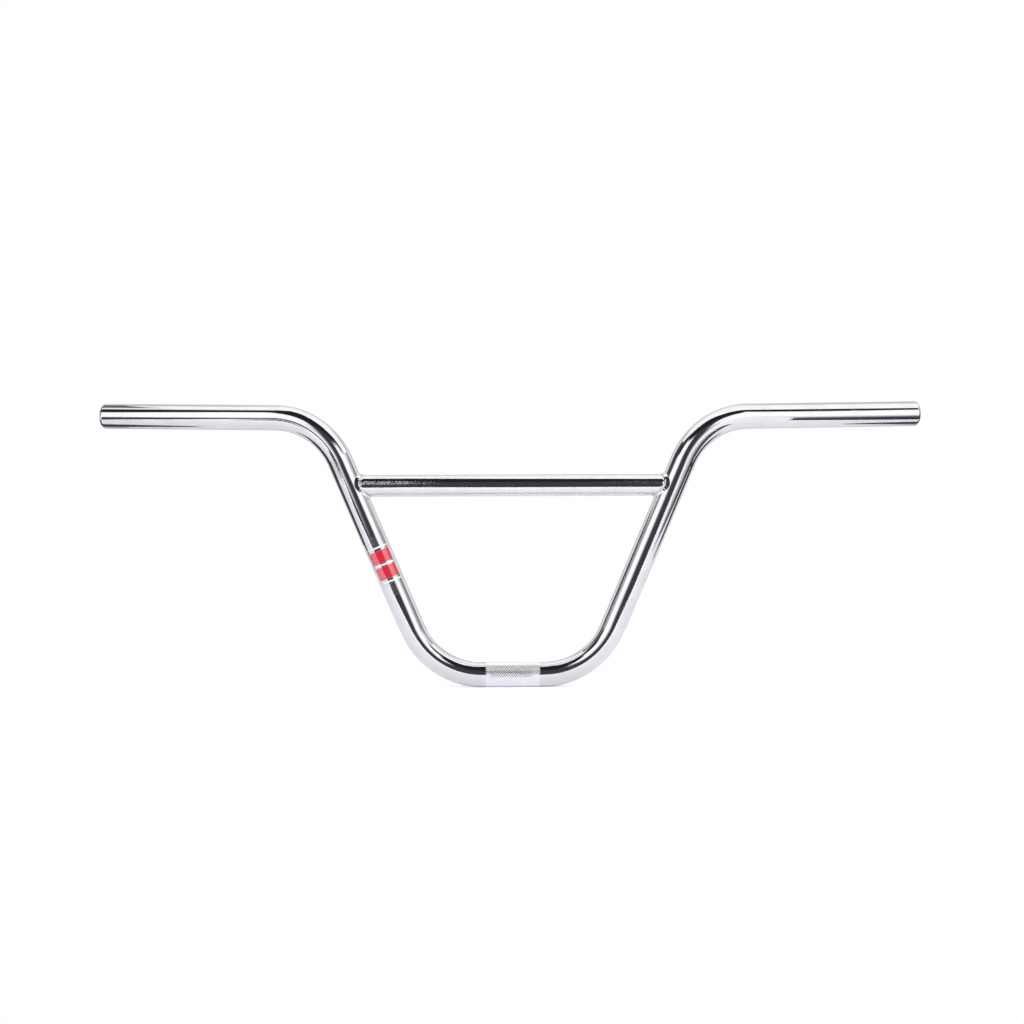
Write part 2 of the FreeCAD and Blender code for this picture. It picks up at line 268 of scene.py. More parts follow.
def end_tree(wire, finish, except_where=None):
    """The last steps of every tree: realise what was instanced, give it its finish and hand it out."""
    whole = wire.node("GeometryNodeRealizeInstances", None, {"Geometry": wire})
    dressed = wire.node("GeometryNodeSetMaterial", None, {"Geometry": whole, "Material": finish,
                                                          "Selection": except_where and 1 - except_where})
    wire.node("NodeGroupOutput", None, {"Geometry": dressed})


print("tree helpers ready")


# %% Helpers for pieces
def add_object(name, data):
    made = bpy.data.objects.new(name, data)
    bpy.context.scene.collection.objects.link(made)
    return made


def grow(source, tree, values):
    """Put a tree on an object and set its sizes by each socket's own identifier."""
    modifier = source.modifiers.new(tree.name, "NODES")
    modifier.node_group = tree
    for item in tree.interface.items_tree:
        if item.in_out == "INPUT" and item.name in values:
            modifier[item.identifier] = values[item.name]


def plain_mesh(source, name, smooth=True):
    """The evaluated object as a plain mesh object at the origin. The object it came from is removed."""
    bpy.context.view_layer.update()
    graph = bpy.context.evaluated_depsgraph_get()
    mesh = bpy.data.meshes.new_from_object(source.evaluated_get(graph), depsgraph=graph)
    old = source.data
    bpy.data.objects.remove(source)
    (bpy.data.curves if isinstance(old, bpy.types.Curve) else bpy.data.meshes).remove(old)
    mesh.name = name
    if smooth:
        mesh.shade_smooth()
    else:
        mesh.shade_flat()
    return add_object(name, mesh)


def fix_to_bar(piece, slot, *cad_nodes):
    """The piece moves with the bar and the CAD nodes that it replaces are hidden. The slot is not used."""
    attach(piece, "root")
    if cad_nodes:
        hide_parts(*cad_nodes)
    piece.data.calc_loop_triangles()
    print(piece.name, "has", len(piece.data.loop_triangles), "triangles")


print("piece helpers ready")

# %% [markdown]
# ## The main tube
# The real tube is bent round a die four times. Here the centre line is a line through six corner points, with
# a few more close to its ends. Fillet Curve rounds each corner with its own bend radius, and Curve to Mesh
# sweeps a circle along it. The open ends are rounded over, as a deburring wheel leaves them: near an end, the
# sweep's scale falls along a quarter of an ellipse until it meets the inner wall, which is a second, narrower
# sweep.

# %% Centre line
LIP_LENGTH, LIP_STEPS = 3.0, 10


def on_left(at):
    return Vector((-at.x, at.y, at.z))


def corner_line(name, corners):
    """A line through corner points, each a place in millimetres and a bend radius."""
    curve = bpy.data.curves.new(name, "CURVE")
    curve.dimensions = "3D"
    line = curve.splines.new("POLY")
    line.points.add(len(corners) - 1)
    for point, (at, bend) in zip(line.points, corners):
        point.co = (*(at * MM), 1)
        point.radius = bend * MM
    return add_object(name, curve)


right_half = [(lower_corner, LOWER_BEND), (upper_corner, UPPER_BEND)]
for k in range(LIP_STEPS, -1, -1):
    from_end = LIP_LENGTH * (1 - math.cos(math.pi / 2 * k / LIP_STEPS))
    right_half.append((grip_end - grip_way * from_end, 0))
left_half = [(on_left(at), bend) for at, bend in reversed(right_half)]
centre_line = corner_line("bar_line", left_half + right_half)
print("centre line has", len(left_half + right_half), "points")

# %% Tree of the bent tube
TUBE_SEAM = 0.002

tree, size = new_tree("sweep_bent_tube", {
    "Outside radius": "Float", "Inside radius": "Float", "Lip length": "Float",
    "Steps in a bend": "Int", "Sides": "Int"})
bends = size["Geometry"].node("GeometryNodeInputRadius")
rounded = bends.node("GeometryNodeFilletCurve", {"mode": "POLY"}, {
    "Curve": size["Geometry"], "Count": size["Steps in a bend"], "Radius": bends, "Limit Radius": True})
run = bends.node("GeometryNodeSplineParameter", out="Length")
to_end = run.math("MINIMUM", run.node("GeometryNodeSplineLength") - run)
inward = 1 - (to_end / size["Lip length"]).math("MINIMUM", 1.0)
rolled = 1 - (1 - inward * inward).math("MAXIMUM", 0.0).math("SQRT")
lip_scale = 1 - rolled * (1 - size["Inside radius"] / size["Outside radius"])

outside = ring_sweep(rounded, size["Sides"], size["Outside radius"], lip_scale)
inside = ring_sweep(rounded, size["Sides"], size["Inside radius"])
inside = inside.node("GeometryNodeFlipFaces", None, {"Mesh": inside})
lining = inside.node("GeometryNodeStoreNamedAttribute", {"data_type": "FLOAT", "domain": "FACE"}, {
    "Geometry": inside, "Name": "lining", "Value": 1.0})
lined = lining.node("GeometryNodeSetMaterial", None, {"Geometry": lining, "Material": steel})
is_lining = lining.node("GeometryNodeInputNamedAttribute", {"data_type": "FLOAT"}, {"Name": "lining"})
end_tree(join(lined, outside, TUBE_SEAM), tube_chrome, except_where=is_lining)
print("bent tube's tree:", len(tree.nodes), "nodes")

# %% Main tube
grow(centre_line, tree, {"Outside radius": TUBE_R * MM, "Inside radius": (TUBE_R - TUBE_WALL) * MM,
                         "Lip length": LIP_LENGTH * MM, "Steps in a bend": 64, "Sides": 82})
bent_tube = plain_mesh(centre_line, "bent_tube")
bent_tube.data.attributes.remove(bent_tube.data.attributes["lining"])
fix_to_bar(bent_tube, "chrome", "main_tube")

# %% [markdown]
# ## The crossbar
# A thinner straight tube ties the legs together. Its ends are cut to a fish mouth, so that they sit on the
# round legs. A straight sweep is made first. Then each point moves along X, in step with how far out it lies,
# until the two end rings rest on the legs' surfaces. Its ends were hard to polish beside the legs, so the
# grain shows there, most on the left.

# %% Crossbar finish
LEFT_GRAIN, RIGHT_GRAIN, GRAIN_BETWEEN = 1.6, 0.4, 0.05


def cross_grain(x):
    """A streak of grain on the crossbar's front, just above its middle, that grows towards the welds."""
    above = x.beside("Z") - cross_middle.z * MM
    in_front = 1 - x.beside("Y").between(-0.004, 0)
    streak = above.within((0.0000, 0.0024), (0.0036, 0.0046)) * in_front
    to_left, to_right = (x * -1).between(0.060, 0.105), x.between(0.050, 0.115)
    return streak * (to_left * LEFT_GRAIN + to_right * RIGHT_GRAIN) + GRAIN_BETWEEN


cross_chrome = chrome_plate("cross_chrome", cross_grain)

# %% Tree of the crossbar
tree, size = new_tree("fish_mouth_tube", {
    "Radius": "Float", "Leg radius": "Float", "Leg axis X": "Float", "Height": "Float", "Lean": "Float",
    "Rings": "Int", "Sides": "Int"})
span = size["Radius"].node("GeometryNodeCurvePrimitiveLine", None, {"Start": (-1, 0, 0), "End": (1, 0, 0)})
line = span.node("GeometryNodeResampleCurve", None, {"Curve": span, "Count": size["Rings"]})
skin = ring_sweep(line, size["Sides"], size["Radius"])
x = split(skin.node("GeometryNodeInputPosition"))
y, z = x.beside("Y"), x.beside("Z")
depth = (size["Leg radius"] * size["Leg radius"] - y * y).math("SQRT")
reach = size["Leg axis X"] + (z * size["Lean"].math("SINE") - depth) / size["Lean"].math("COSINE")
moved = x.node("ShaderNodeCombineXYZ", None, {"X": x * reach, "Y": y, "Z": z + size["Height"]})
end_tree(x.node("GeometryNodeSetPosition", None, {"Geometry": skin, "Position": moved}), cross_chrome)
print("crossbar's tree:", len(tree.nodes), "nodes")

# %% Crossbar
blank = add_object("crossbar_blank", bpy.data.meshes.new("crossbar_blank"))
grow(blank, tree, {"Radius": CROSS_R * MM, "Leg radius": TUBE_R * MM, "Leg axis X": cross_middle.x * MM,
                   "Height": cross_middle.z * MM, "Lean": LEG_LEAN, "Rings": 61, "Sides": 72})
coped_crossbar = plain_mesh(blank, "coped_crossbar")
coped_crossbar.data.materials.append(steel)
wall = coped_crossbar.modifiers.new("wall", "SOLIDIFY")
wall.thickness, wall.offset, wall.material_offset = CROSS_WALL * MM, -1, 1
coped_crossbar = plain_mesh(coped_crossbar, "coped_crossbar")
fix_to_bar(coped_crossbar, "chrome", "crossbar")

# %% [markdown]
# ## The weld beads
# Each end of the crossbar is welded all round. A bead fills the corner between the two tubes and shows the
# small overlapping scales of the weld pool under the chrome. The corner's line is worked out from the two
# cylinders: at every step round it, one toe lies on the crossbar, the other on the leg, and the face between
# them bulges, most on the crossbar's side.

# %% Cross-sections of a bead
BEAD_STEPS, BEAD_FACE = 288, 16
BEAD_ON_LEG, BEAD_ON_CROSS, BEAD_FRONT_GAIN = 1.8, 1.9, 0.9
BEAD_BULGE, BULGE_POWER = 0.155, 6
TOE_DEPTH, ROOT_DEPTH = 0.06, 0.5


def from_leg_axis(at):
    """The way from the right leg's axis straight out to a point."""
    return (at - cross_middle) - leg_way * (at - cross_middle).dot(leg_way)


def on_leg(at, way, distance):
    """A point on the right leg, moved over its surface from another point on it."""
    out = from_leg_axis(at).normalized()
    round_way = leg_way.cross(out)
    turn = way.dot(round_way) * distance / TUBE_R
    foot = at - from_leg_axis(at) + leg_way * way.dot(leg_way) * distance
    return foot + (out * math.cos(turn) + round_way * math.sin(turn)) * (TUBE_R - TOE_DEPTH)


def bead_section(angle):
    """Places across the bead, from the crossbar's toe to the leg's, the way out of it, and the root."""
    out_of_cross = Vector((0, -math.cos(angle), math.sin(angle)))
    side, up = out_of_cross.y * CROSS_R, out_of_cross.z * CROSS_R
    depth = math.sqrt(TUBE_R ** 2 - side ** 2)
    reach = cross_middle.x + (up * math.sin(LEG_LEAN) - depth) / math.cos(LEG_LEAN)
    corner = Vector((reach, side, cross_middle.z + up))
    out_of_leg = from_leg_axis(corner).normalized()
    along_leg = (out_of_cross - out_of_leg * out_of_cross.dot(out_of_leg)).normalized()
    wider = BEAD_FRONT_GAIN * math.cos(angle) ** 2
    toe_cross = corner - Vector((BEAD_ON_CROSS + wider, 0, 0)) - out_of_cross * TOE_DEPTH
    toe_leg = on_leg(corner, along_leg, BEAD_ON_LEG + wider)
    lift = (out_of_cross + out_of_leg).normalized()
    face = []
    for k in range(BEAD_FACE + 1):
        to_leg = k / BEAD_FACE
        share = (1 - to_leg) * (1 - (1 - to_leg) ** BULGE_POWER)
        bulge = BEAD_BULGE * (toe_leg - toe_cross).length * share
        face.append(toe_cross.lerp(toe_leg, to_leg) + lift * bulge)
    return face, lift, corner - lift * ROOT_DEPTH


sections = [bead_section(2 * math.pi * k / BEAD_STEPS) for k in range(BEAD_STEPS)]
middles = [face[BEAD_FACE // 2] for face, lift, root in sections]
bead_round = sum((middles[k] - middles[k - 1]).length for k in range(BEAD_STEPS))
print("bead runs", round(bead_round, 1), "mm round the crossbar")


# %% Both beads as one mesh, with what the ripples need
def bead_mesh():
    places, lifts, along, across, faces = [], [], [], [], []
    row = BEAD_FACE + 2
    for mirror in (1, -1):
        base, run = len(places), 0.0
        for k, (face, lift, root) in enumerate(sections):
            run += (middles[k] - middles[k - 1]).length if k else 0.0
            for j, at in enumerate((*face, root)):
                places.append((at.x * mirror * MM, at.y * MM, at.z * MM))
                lifts += (lift.x * mirror, lift.y, lift.z)
                along.append(run / bead_round)
                across.append(j / BEAD_FACE if j <= BEAD_FACE else 0.0)
            for j in range(row):
                here, there = base + k * row, base + (k + 1) % BEAD_STEPS * row
                quad = (here + j, here + (j + 1) % row, there + (j + 1) % row, there + j)
                faces.append(quad if mirror < 0 else quad[::-1])
    mesh = bpy.data.meshes.new("bead_skin")
    mesh.from_pydata(places, [], faces)
    mesh.attributes.new("lift", "FLOAT_VECTOR", "POINT").data.foreach_set("vector", lifts)
    mesh.attributes.new("along", "FLOAT", "POINT").data.foreach_set("value", along)
    mesh.attributes.new("across", "FLOAT", "POINT").data.foreach_set("value", across)
    return mesh


bead_blank = add_object("bead_blank", bead_mesh())
print("bead skin:", len(bead_blank.data.polygons), "faces")

# %% [markdown]
# The ripples repeat along the bead, so a node tree lifts them: a row of rounded scales, bowed across the bead
# as the pool's tail is, with a little noise, the same on every run, because no hand keeps perfect time.

# %% Ripples along the beads
RIPPLE_NOISE_SCALE, RIPPLE_NOISE, RIPPLE_MIDDLE = 420.0, 0.8, 0.6

tree, size = new_tree("weld_ripples", {
    "Scales": "Float", "Height": "Float", "Bow": "Float", "Unevenness": "Float"})


def stored(name, kind):
    return size["Geometry"].node("GeometryNodeInputNamedAttribute", {"data_type": kind}, {"Name": name})


across = stored("across", "FLOAT")
edge = across * 2 - 1
shaky = noise(across.node("GeometryNodeInputPosition"), RIPPLE_NOISE_SCALE, 2.0)
phase = stored("along", "FLOAT") * size["Scales"] + edge * edge * size["Bow"] + shaky * size["Unevenness"]
scale_top = (phase * math.pi).math("SINE").math("ABSOLUTE")
crown = (1 - edge * edge).math("MAXIMUM", 0.0)
height = (scale_top + shaky * RIPPLE_NOISE - RIPPLE_MIDDLE) * crown * size["Height"]
shift = across.node("ShaderNodeVectorMath", {"operation": "SCALE"}, {
    0: stored("lift", "FLOAT_VECTOR"), "Scale": height})
rippled = across.node("GeometryNodeSetPosition", None, {"Geometry": size["Geometry"], "Offset": shift})
end_tree(rippled, tube_chrome)

grow(bead_blank, tree, {"Scales": 26.0, "Height": 0.14 * MM, "Bow": 0.5, "Unevenness": 0.9})
crossbar_welds = plain_mesh(bead_blank, "crossbar_welds")
for name in ("lift", "along", "across"):
    crossbar_welds.data.attributes.remove(crossbar_welds.data.attributes[name])
fix_to_bar(crossbar_welds, "chrome", "weld_beads")

# %% [markdown]
# ## The knurled clamp
# The stem grips a knurled band in the middle of the bar. A knurling wheel presses crossing grooves into the
# tube, which leaves rows of small four-sided points. The tree lays a net of diamonds, keeps those on the
# band, wraps the net round the tube and raises a blunt point on every diamond. It marks the points' flat
# crests, because the plate is satin here: in a belt round the band, at the height where the dark band between
# the softboxes is mirrored, the crests are painted near black, a painted dark reflection at the front and
# back.

# %% Knurl finish
GROOVE_PALE, CREST_PALE = (0.94, 0.94, 0.96, 1), (0.84, 0.84, 0.88, 1)
# Painted dark reflection: the crests' colour in the belt where the dark band is mirrored.
CREST_PAINTED_DARK = (0.05, 0.05, 0.06, 1)
SATIN, WIPED = 0.24, 0.18


def knurl_haze(x):
    """Satin on the band, less towards its top, where it was wiped bright."""
    return SATIN - x.beside("Z").between(0.0060, 0.0085) * WIPED


def knurl_colour(x):
    """Pale grooves and crests. Where the dark band between the softboxes is mirrored, the crests are painted
    near black: a painted dark reflection.
    """
    # Painted dark reflection: a belt round the band at the height of the mirrored dark band, along the band's
    # length.
    painted_dark_up = x.beside("Z").within((-0.0035, 0.0005), (0.0045, 0.0080))
    painted_dark_along = x.within((-0.0225, -0.018), (0.014, 0.019))
    crest = x.node("ShaderNodeAttribute", {"attribute_name": "crest"}, out="Fac")
    return blend_colours(crest, GROOVE_PALE, blend_colours(painted_dark_up * painted_dark_along, CREST_PALE, CREST_PAINTED_DARK))


knurl_chrome = chrome_plate("knurl_chrome", haze_here=knurl_haze, colour_here=knurl_colour)

# %% Tree of the knurl: a net of diamonds wrapped round the tube
SEAM_NUDGE = 0.001
NET_SEAM, POINT_SEAM = 0.02, 0.01

tree, size = new_tree("diamond_knurl", {
    "Length": "Float", "Base radius": "Float", "Valley radius": "Float", "Crest radius": "Float",
    "Points along": "Int", "Points round": "Int", "Crest width": "Float"})
cells = size["Points along"] + size["Points round"]
net = cells.node("GeometryNodeMeshGrid", None, {
    "Size X": cells, "Size Y": cells, "Vertices X": cells + 1, "Vertices Y": cells + 1})
x = split(cells.node("GeometryNodeInputPosition"))
y = x.beside("Y")
step_along, step_round = (x + y) / 2, (x - y) / 2
past_end = step_along.math("ABSOLUTE").math("GREATER_THAN", size["Points along"] / 2)
past_turn = (step_round + SEAM_NUDGE).math("ABSOLUTE").math("GREATER_THAN", size["Points round"] / 2)
band = cells.node("GeometryNodeDeleteGeometry", {"domain": "FACE"}, {
    "Geometry": net, "Selection": past_end.math("MAXIMUM", past_turn)})
turn = step_round / size["Points round"] * (2 * math.pi)
wrapped = cells.node("ShaderNodeCombineXYZ", None, {
    "X": step_along / size["Points along"] * size["Length"],
    "Y": turn.math("SINE") * size["Base radius"] * -1, "Z": turn.math("COSINE") * size["Base radius"]})
sleeve = cells.node("GeometryNodeSetPosition", None, {"Geometry": band, "Position": wrapped})
closed = cells.node("GeometryNodeMergeByDistance", None, {"Geometry": sleeve, "Distance": NET_SEAM * MM})
print("net's tree:", len(tree.nodes), "nodes")

# %% Points on the net
seat = closed.node("GeometryNodeExtrudeMesh", {"mode": "FACES"}, {
    "Mesh": closed, "Offset Scale": size["Valley radius"] - size["Base radius"], "Individual": False})
points = seat.node("GeometryNodeExtrudeMesh", {"mode": "FACES"}, {
    "Mesh": seat, "Selection": seat.beside("Top"),
    "Offset Scale": size["Crest radius"] - size["Valley radius"], "Individual": True})
marked = points.node("GeometryNodeStoreNamedAttribute", {"data_type": "FLOAT", "domain": "FACE"}, {
    "Geometry": points, "Selection": points.beside("Top"), "Name": "crest", "Value": 1.0})
blunt = marked.node("GeometryNodeScaleElements", {"domain": "FACE"}, {
    "Geometry": marked, "Selection": points.beside("Top"), "Scale": size["Crest width"]})
under = closed.node("GeometryNodeFlipFaces", None, {"Mesh": closed})
end_tree(join(under, blunt, POINT_SEAM), knurl_chrome)
print("with the points:", len(tree.nodes), "nodes")

# %% Knurled band
KNURL_LENGTH, KNURL_BASE, KNURL_VALLEY, KNURL_CREST = 46.4, 10.95, 11.12, 11.24

blank = add_object("knurl_blank", bpy.data.meshes.new("knurl_blank"))
grow(blank, tree, {"Length": KNURL_LENGTH * MM, "Base radius": KNURL_BASE * MM,
                   "Valley radius": KNURL_VALLEY * MM, "Crest radius": KNURL_CREST * MM,
                   "Points along": 21, "Points round": 30, "Crest width": 0.64})
clamp_knurl = plain_mesh(blank, "clamp_knurl", smooth=False)
fix_to_bar(clamp_knurl, "chrome")

# %% [markdown]
# ## The printed film
# A clear film is stuck round the front of the left leg, with a plain print of red hoops and white lines. It
# is a thin bent sheet with rounded corners, so it is made as a grid on the leg's surface: columns run along
# the leg, side by side round it, and each column stops short where a corner is rounded. Its UV map runs round
# and along the leg.

# %% Film mesh
FILM_GAP, FILM_LENGTH, FILM_WIDTH, FILM_CORNER = 33.0, 56.0, 18.0, 4.0
FILM_INSIDE, FILM_OUTSIDE = 11.12, 11.2
FILM_COLUMNS, FILM_ROWS = 48, 40
TO_FRONT = Vector((0, -1, 0))

film_foot = on_left(lower_corner + leg_way * (lower_cut + FILM_GAP))
left_leg_way = on_left(leg_way)
left_leg_side = Vector((left_leg_way.z, 0, -left_leg_way.x))


def film_point(column, row):
    """A place on the leg, and its share round and along the film."""
    half = FILM_WIDTH / 2
    angle = (2 * column / FILM_COLUMNS - 1) * math.asin(half / FILM_OUTSIDE)
    past = abs(FILM_OUTSIDE * math.sin(angle)) - (half - FILM_CORNER)
    short = FILM_CORNER - math.sqrt(max(FILM_CORNER ** 2 - max(past, 0) ** 2, 0))
    along = short + (FILM_LENGTH - 2 * short) * row / FILM_ROWS
    out = left_leg_side * math.sin(angle) + TO_FRONT * math.cos(angle)
    at = film_foot + left_leg_way * along + out * FILM_OUTSIDE
    return at, (column / FILM_COLUMNS, along / FILM_LENGTH)


spots = [film_point(c, r) for r in range(FILM_ROWS + 1) for c in range(FILM_COLUMNS + 1)]
wide = FILM_COLUMNS + 1
quads = [(r * wide + c, r * wide + c + 1, (r + 1) * wide + c + 1, (r + 1) * wide + c)
         for r in range(FILM_ROWS) for c in range(FILM_COLUMNS)]
mesh = bpy.data.meshes.new("film_skin")
mesh.from_pydata([at * MM for at, uv in spots], [], quads)
layer = mesh.uv_layers.new(name="film")
layer.data.foreach_set("uv", [share for loop in mesh.loops for share in spots[loop.vertex_index][1]])
film = add_object("film_skin", mesh)
sheet = film.modifiers.new("sheet", "SOLIDIFY")
sheet.thickness, sheet.offset = (FILM_OUTSIDE - FILM_INSIDE) * MM, -1
print("film rests from", film_foot[:])

# %% [markdown]
# The film itself is clear, so its Alpha is very low where there is no print. The ink is opaque under a hard
# gloss: the coat mirrors the softbox as a pale streak over the red. The hoops are steps along V, the film's
# length.

# %% Film finish
INK_RED, INK_DEEP_RED = (0.70, 0.018, 0.046, 1), (0.62, 0.016, 0.042, 1)
INK_WHITE = (0.86, 0.87, 0.87, 1)
FILM_CLEAR = (0.80, 0.86, 0.87, 1)
CLEAR_ALPHA, RED_ALPHA, WHITE_ALPHA = 0.015, 0.96, 0.90
RED_HOOPS = ((0.30, 0.50), (0.56, 0.76))
WHITE_LINES = ((0.235, 0.262), (0.517, 0.543), (0.798, 0.825))
PRINT_EDGE, INK_GRAIN_SCALE = 0.004, 900.0
INK_ROUGHNESS, INK_UNEVENNESS = 0.10, 0.08

printed, start, shader = new_finish("printed_film")
v = split(start.node("ShaderNodeUVMap", {"uv_map": "film"})).beside("Y")


def hoops(spans):
    """1 on hoops across the film, each between two shares of its length."""
    edges = [[(end - PRINT_EDGE, end + PRINT_EDGE) for end in span] for span in spans]
    rings = [v.between(*low) - v.between(*high) for low, high in edges]
    return sum(rings[1:], rings[0])


red, white = hoops(RED_HOOPS), hoops(WHITE_LINES)
ink_grain = noise(start.node("ShaderNodeTexCoord", out="Object"), INK_GRAIN_SCALE, 2.0)
red_ink = blend_colours(ink_grain.between(0.35, 0.75), INK_RED, INK_DEEP_RED)
feed(blend_colours(white, blend_colours(red, FILM_CLEAR, red_ink), INK_WHITE), shader, "Base Color")
feed(red * RED_ALPHA + white * WHITE_ALPHA + CLEAR_ALPHA, shader, "Alpha")
feed(ink_grain * INK_UNEVENNESS + INK_ROUGHNESS, shader, "Roughness")
shader.inputs["IOR"].default_value = 1.5
shader.inputs["Coat Weight"].default_value = 1.0
shader.inputs["Coat IOR"].default_value = 2.1
shader.inputs["Coat Roughness"].default_value = 0.05
film.data.materials.append(printed)
leg_film = plain_mesh(film, "leg_film")
fix_to_bar(leg_film, "decal", "decal_film")

# %% [markdown]
# ## The studio
# Chrome needs something dark to mirror, or it looks like plaster. The bar stands on a white table in a dark
# room, with a wide lamp overhead, a softbox on either side of the camera and a white sheet behind. The gap
# between the softboxes draws the dark band along every tube. The world holds what is far away, painted by
# direction in soft patches: the room and its side walls, a pale window on the right, a dark door and a low
# white board on the left, the sheet with a dark opening in its middle, and a lit stretch of ceiling with a
# dark corner. The chrome mirrors all that, while the camera sees plain white instead.

# %% World: directions in degrees
world = bpy.data.worlds.new("studio")
bpy.context.scene.world = world
world.use_nodes = True
tree = world.node_tree
start = Wire(tree)
x = split(start.node("ShaderNodeTexCoord", out="Generated"))
y, z = x.beside("Y"), x.beside("Z")
round_deg = x.math("ARCTAN2", y * -1) * math.degrees(1)
up_deg = z.math("MINIMUM", 1.0).math("MAXIMUM", -1.0).math("ARCSINE") * math.degrees(1)
off_front = round_deg.math("ABSOLUTE")
print("round is 0 towards the camera and negative to its left, up is 0 on the level and 90 overhead")

# %% World: where each patch of the room lies
darkest = up_deg.between(32, 42) * (1 - off_front.between(50, 75))
walls = off_front.between(63, 75) * up_deg.between(-4, 6)
wall_shade = off_front.between(78, 91) * (1 - up_deg.between(40, 52))
window = round_deg.within((56, 64), (82, 92)) * up_deg.between(23, 28)
low_board = round_deg.within((-92, -80), (-52, -44)) * up_deg.within((-34, -26), (-2, 6))
sheet_start = off_front + round_deg.between(-20, 20) * 11 - (1 - up_deg.between(-10, 2)) * 20
sheet_behind = sheet_start.between(111, 124) * up_deg.between(-66, -14)
door_top = up_deg - round_deg.between(-92, -74) * 12
door = round_deg.within((-118, -104), (-66, -50)) * up_deg.between(23, 27) * (1 - door_top.between(36, 50))
ceiling_side = 1 - (round_deg - up_deg * 1.6).between(-162, -150)
ceiling = round_deg.within((-130, -120), (-40, -30)) * up_deg.between(46, 54) * ceiling_side
dark_corner = round_deg.within((-168, -154), (-100, -84)) * up_deg.between(40, 52)
opening = y.between(0.88, 0.95)
print("patches of the room:", len(tree.nodes), "nodes")

# %% World: what the chrome mirrors there, and white for the camera
ROOM_DIM, ROOM_DARK = (0.054, 0.054, 0.068, 1), (0.020, 0.019, 0.022, 1)
WALL_GREY = (0.60, 0.595, 0.59, 1)
WALL_LOW, WALL_HIGH = (0.07, 0.07, 0.075, 1), (0.30, 0.30, 0.31, 1)
WINDOW_PALE, BOARD_WHITE = (0.85, 0.85, 0.87, 1), (0.84, 0.84, 0.88, 1)
SHEET_LOW, SHEET_SIDES, SHEET_MIDDLE = (0.92, 0.92, 0.95, 1), (0.86, 0.86, 0.89, 1), (0.95, 0.95, 0.97, 1)
DOOR_DARK, CEILING_LIT = (0.05, 0.05, 0.055, 1), (1.10, 1.10, 1.10, 1)
CORNER_DARK, OPENING_DARK = (0.15, 0.15, 0.16, 1), (0.06, 0.06, 0.07, 1)
CAMERA_WHITE = (1, 1, 1, 1)

shaded_wall = blend_colours(up_deg.between(23, 28), WALL_LOW, WALL_HIGH)
wall = blend_colours(wall_shade, WALL_GREY, shaded_wall)
sheet_high = blend_colours(off_front.between(158, 178), SHEET_SIDES, SHEET_MIDDLE)
sheet = blend_colours(up_deg.between(4, 34), SHEET_LOW, sheet_high)
to_camera = start.node("ShaderNodeLightPath", out="Is Camera Ray")
room = blend_colours(darkest, ROOM_DIM, ROOM_DARK)
for patch, colour in ((walls, wall), (window, WINDOW_PALE), (low_board, BOARD_WHITE), (sheet_behind, sheet),
                      (door, DOOR_DARK), (ceiling, CEILING_LIT), (dark_corner, CORNER_DARK),
                      (opening, OPENING_DARK), (to_camera, CAMERA_WHITE)):
    room = blend_colours(patch, room, colour)
feed(room, tree.nodes["Background"], "Color")
print("studio world:", len(tree.nodes), "nodes")


# %% Panels of the studio
def studio_panel(name, corners, finish):
    """One flat panel of the studio, from its corners in millimetres. The camera doesn't see it."""
    mesh = bpy.data.meshes.new(name)
    mesh.from_pydata([Vector(at) * MM for at in corners], [], [list(range(len(corners)))])
    mesh.materials.append(finish)
    panel = add_object(name, mesh)
    panel.visible_camera = False
    print("panel:", name)
    return panel


def glowing(name, colour):
    """A material that only glows. Gives the wire of its glow and its tree's output node too."""
    material = bpy.data.materials.new(name)
    material.use_nodes = True
    tree = material.node_tree
    tree.nodes.remove(tree.nodes["Principled BSDF"])
    glow = Wire(tree).node("ShaderNodeEmission", None, {"Color": (*colour, 1), "Strength": 1.0})
    output = tree.nodes["Material Output"]
    feed(glow, output, "Surface")
    return material, glow, output


print("panel helpers ready")

# %% [markdown]
# Each softbox is an upright cloth that glows in its middle and fades out at its rim, so the reflections have
# soft edges. The fade is a mask over two coordinates, in metres: how far along the cloth a point lies, away
# from the camera, and how high. The lower and the upper edge have steps, which show as steps in the white
# bands along the legs.

# %% Softboxes
SOFTBOX_WHITE = (1.30, 1.30, 1.30)


def softbox(name, near, far, from_along, to_along, low, high, shape):
    """An upright glowing cloth on the line from near to far. Its shape gives the mask from along and up."""
    near, far = Vector(near), Vector(far)
    along_way = (far - near).normalized()
    finish, glow, output = glowing(name + "_cloth", SOFTBOX_WHITE)
    place = glow.node("ShaderNodeTexCoord", out="Object")
    from_near = glow.node("ShaderNodeVectorMath", {"operation": "SUBTRACT"}, {
        0: place, 1: (*(near * MM), 0)})
    along = glow.node("ShaderNodeVectorMath", {"operation": "DOT_PRODUCT"}, {
        0: from_near, 1: (*along_way, 0)}, out="Value")
    clear = glow.node("ShaderNodeBsdfTransparent")
    mask = shape(along, split(place).beside("Z"))
    feed(glow.node("ShaderNodeMixShader", None, {0: mask, 1: clear, 2: glow}), output, "Surface")
    first, last = near + along_way * from_along, near + along_way * to_along
    studio_panel(name, [(*first, low), (*last, low), (*last, high), (*first, high)], finish)


def left_shape(along, up):
    """The left cloth: its near edge is sharper above, and its upper edge falls at the far end."""
    higher = up.between(0.5, 0.9)
    near_edge = 0.09 - higher * 0.19
    soft = 0.38 - higher * 0.21
    bottom = 0.03 - along * 0.30 + along.between(0.40, 0.47) * 0.28
    top = 1.40 + along.between(0.55, 0.80) * 0.32 - along.between(0.74, 1.00) * 0.65
    return ((along - near_edge).between(soft * -1, soft) * (1 - along.between(1.25, 1.60))
            * (up - bottom).between(-0.11, 0.11) * (1 - (up - top).between(-0.12, 0.16)))


